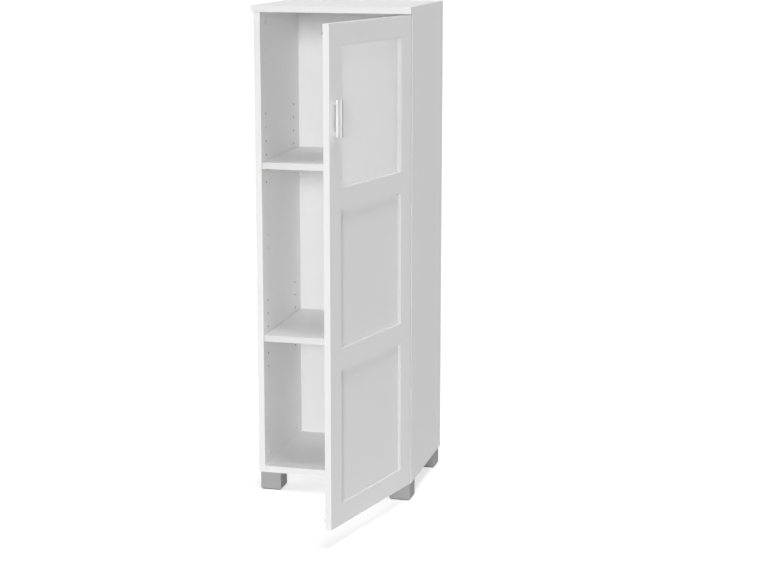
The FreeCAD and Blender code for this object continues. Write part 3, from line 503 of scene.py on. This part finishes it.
def cross_recessed_screws(node_name, body, towards):
    """Replaces a node's plain screws by ones with a domed head and a cross recess.

    The heads look towards the given direction. Each screw keeps its reach, its seat and its
    widths, which are read from its solid.
    """
    side = towards.orthogonal().normalized()
    other = towards.cross(side)
    mesh = bmesh.new()
    for points in loose_solids(nodes[node_name]):
        middle = middle_of(points)
        centre = middle - towards * middle.dot(towards)
        reach = [(point.dot(towards), (point - centre - towards * point.dot(towards)).length)
                 for point in points]
        top = max(out for out, _ in reach)
        tip = min(out for out, _ in reach)
        head = max(away for _, away in reach)
        seat = min(out for out, away in reach if away > HEAD_RIM * head)
        shank = max(away for out, away in reach if out < seat - BELOW_SEAT_MM * MM)
        rise = top - seat
        outline = [(SCREW_POINT * shank, tip), (shank, tip + shank), (shank, seat)]
        outline += [(wide * head, seat + high * rise) for wide, high in DOMED_HEAD]
        rings = [ring(mesh, circle(centre + towards * out, side, other, away, SCREW_CORNERS))
                 for away, out in outline]
        skin(mesh, rings)
        mesh.faces.new(rings[0])
        long, thin = CROSS_REACH * head, CROSS_HALF_WIDTH * head
        cross = [(long, thin), (thin, thin), (thin, long), (-thin, long), (-thin, thin),
                 (-long, thin), (-long, -thin), (-thin, -thin), (-thin, -long), (thin, -long),
                 (thin, -thin), (long, -thin)]
        rim, floor = [ring(mesh, [centre + towards * out + side * x + other * y
                                  for x, y in cross])
                      for out in (top, top - CROSS_DEPTH * rise)]
        skin(mesh, [rim, floor])
        mesh.faces.new(floor)
        top_edges = [mesh.edges.get((loop[i - 1], loop[i]))
                     for loop in (rings[-1], rim) for i in range(len(loop))]
        bmesh.ops.triangle_fill(mesh, edges=top_edges, use_beauty=True)
    piece = new_piece(node_name + "_crossed", mesh, body, "zinc_steel")
    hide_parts(node_name)


cross_recessed_screws("hinge_plate_screws", "carcass", -RIGHT)
cross_recessed_screws("hinge_arm_screws", "carcass", -RIGHT)
cross_recessed_screws("hinge_cup_screws", "door", -OUT)
cross_recessed_screws("glass_retainer_screws", "door", -OUT)
cross_recessed_screws("handle_screws", "door", -OUT)


# ---------------------------------------------------------------- drilled pin holes
PIN_HOLE_MM = 5.0
HOLE_SLACK_MM = 0.1         # how far a hole's radius may be off
RIM_CORNERS = 7             # a hole's rim has at least this many points
RIM_STEP_MM = 1.5           # a hole's rim has edges shorter than this
ON_FACE_MM = 0.01           # points nearer than this to a face lie on it
FILLED_MM = 6.0             # a hole this near to a pin's or screw's line counts as filled
CORE_SLACK_MM = 0.02
CORE_FROM_MM, CORE_TO_MM = 0.25, 8.0
CORE_CORNERS = 16


def drilled_cores(board, inwards):
    """Raw chipboard in the shelf pin holes that neither side uses for a pin or a screw.

    The board is a side whose drilled face looks inwards.
    """
    mesh = welded(nodes[board])
    face = max(vertex.co.dot(inwards) for vertex in mesh.verts)
    on_face = [vertex for vertex in mesh.verts
               if face - vertex.co.dot(inwards) < ON_FACE_MM * MM]
    rims = linked_groups(on_face, RIM_STEP_MM * MM)
    mesh.free()
    centres = []
    for rim in rims:
        off = abs((rim[0] - middle_of(rim)).length - PIN_HOLE_MM / 2 * MM)
        if len(rim) >= RIM_CORNERS and off < HOLE_SLACK_MM * MM:
            centres.append(middle_of(rim))
    taken = [middle_of(points)
             for name in ("upper_shelf_pins", "lower_shelf_pins", "hinge_plate_screws")
             for points in loose_solids(nodes[name])]
    cores = bmesh.new()
    for centre in centres:
        steps = [centre - spot for spot in taken]
        nearest = min((step - inwards * step.dot(inwards)).length for step in steps)
        if nearest < FILLED_MM * MM:
            continue
        radius = (PIN_HOLE_MM / 2 - CORE_SLACK_MM) * MM
        rings = [ring(cores, circle(centre - inwards * depth * MM, UP, UP.cross(inwards),
                                    radius, CORE_CORNERS))
                 for depth in (CORE_FROM_MM, CORE_TO_MM)]
        skin(cores, rings)
        cores.faces.new(rings[1])
    new_piece(board + "_cores", cores, "carcass", "chipboard_with_painted_hole_shade")


drilled_cores("left_side", RIGHT)
drilled_cores("right_side", -RIGHT)


# ---------------------------------------------------------------- studio
def seen_only(tree, strength):
    """The strength for rays from the eye, in gloss and through glass, and 0 for lighting."""
    path = add(tree, "ShaderNodeLightPath")
    eye = add(tree, "ShaderNodeMath", links={0: path.outputs["Is Camera Ray"],
                                             1: path.outputs["Is Glossy Ray"]},
              operation="ADD")
    seen = add(tree, "ShaderNodeMath", links={0: eye.outputs[0],
                                              1: path.outputs["Is Transmission Ray"]},
               operation="ADD", use_clamp=True)
    shown = add(tree, "ShaderNodeMath", {1: strength}, {0: seen.outputs[0]},
                operation="MULTIPLY")
    return shown.outputs[0]


def white_surroundings():
    """A world that looks white and lights nothing."""
    world = bpy.data.worlds.new("studio")
    world.use_nodes = True
    tree = world.node_tree
    tree.nodes.clear()
    sky = add(tree, "ShaderNodeBackground", {"Color": [1, 1, 1, 1]},
              {"Strength": seen_only(tree, 1.0)})
    add(tree, "ShaderNodeOutputWorld", links={"Surface": sky.outputs[0]})
    bpy.context.scene.world = world


def white_floor(half_size, bounce, glow):
    """A plain floor that bounces that share of the light; its glow, which lights nothing,
    brings it up to white where no shadow falls."""
    mesh = bpy.data.meshes.new("floor")
    corners = [(-half_size, -half_size, 0), (half_size, -half_size, 0),
               (half_size, half_size, 0), (-half_size, half_size, 0)]
    mesh.from_pydata(corners, [], [(0, 1, 2, 3)])
    floor = bpy.data.objects.new("floor", mesh)
    bpy.context.scene.collection.objects.link(floor)
    finish, tree = new_finish("white studio paper")
    paper = add(tree, "ShaderNodeBsdfDiffuse", {"Color": [bounce] * 3 + [1]})
    backlight = add(tree, "ShaderNodeEmission", {"Color": [1, 1, 1, 1]},
                    {"Strength": seen_only(tree, glow)})
    both = add(tree, "ShaderNodeAddShader", links={0: paper.outputs[0], 1: backlight.outputs[0]})
    add(tree, "ShaderNodeOutputMaterial", links={"Surface": both.outputs[0]})
    mesh.materials.append(finish)


def lamp(name, azimuth, elevation, spread, level, glints=True):
    """A far soft light: azimuth from the front towards +X, all angles in degrees.

    A white surface turned to it becomes as bright as the level; without glints it isn't
    seen in gloss.
    """
    light = bpy.data.lights.new(name, "SUN")
    light.angle = math.radians(spread)
    light.energy = level * math.pi
    holder = bpy.data.objects.new(name, light)
    turn, rise = math.radians(azimuth), math.radians(elevation)
    towards = Vector((math.sin(turn) * math.cos(rise), -math.cos(turn) * math.cos(rise),
                      math.sin(rise)))
    holder.rotation_mode = "QUATERNION"
    holder.rotation_quaternion = towards.to_track_quat("Z", "Y")
    holder.visible_glossy = glints
    bpy.context.scene.collection.objects.link(holder)


white_surroundings()
white_floor(half_size=100, bounce=0.75, glow=0.59)
lamp("front lamp", azimuth=6, elevation=10, spread=18, level=0.52)
lamp("left lamp", azimuth=-80, elevation=10, spread=50, level=0.70)
lamp("right lamp", azimuth=94, elevation=13, spread=6, level=0.10)
lamp("top lamp", azimuth=70, elevation=78, spread=24, level=0.39)
lamp("back lamp", azimuth=180, elevation=6, spread=40, level=0.45, glints=False)
bpy.context.scene.view_settings.view_transform = "Standard"


# ---------------------------------------------------------------- camera
PHOTO_WIDTH = 772
FOCAL_PX = 1780.85              # focal length in the photograph's pixels
AXIS_ABOVE_CENTRE_PX = 30.0     # the view axis meets the picture this far above its centre
CAMERA_AT = (1.09393, -4.03023, 1.34320)
YAW, PITCH_DOWN, ROLL = 14.048, 10.926, 0.066       # in degrees
SENSOR_MM = 36.0
FARTHEST_SEEN = 300             # past the floor's far corners


def photo_camera():
    """The camera at the photograph's place, with its framing."""
    data = bpy.data.cameras.new("camera")
    data.sensor_width = SENSOR_MM
    data.lens = FOCAL_PX / PHOTO_WIDTH * SENSOR_MM
    data.shift_y = -AXIS_ABOVE_CENTRE_PX / PHOTO_WIDTH
    data.clip_end = FARTHEST_SEEN
    camera = bpy.data.objects.new("camera", data)
    turn = (Matrix.Rotation(math.radians(YAW), 4, "Z")
            @ Matrix.Rotation(math.radians(90 - PITCH_DOWN), 4, "X")
            @ Matrix.Rotation(math.radians(ROLL), 4, "Z"))
    camera.matrix_world = Matrix.Translation(CAMERA_AT) @ turn
    bpy.context.scene.collection.objects.link(camera)
    bpy.context.scene.camera = camera


photo_camera()
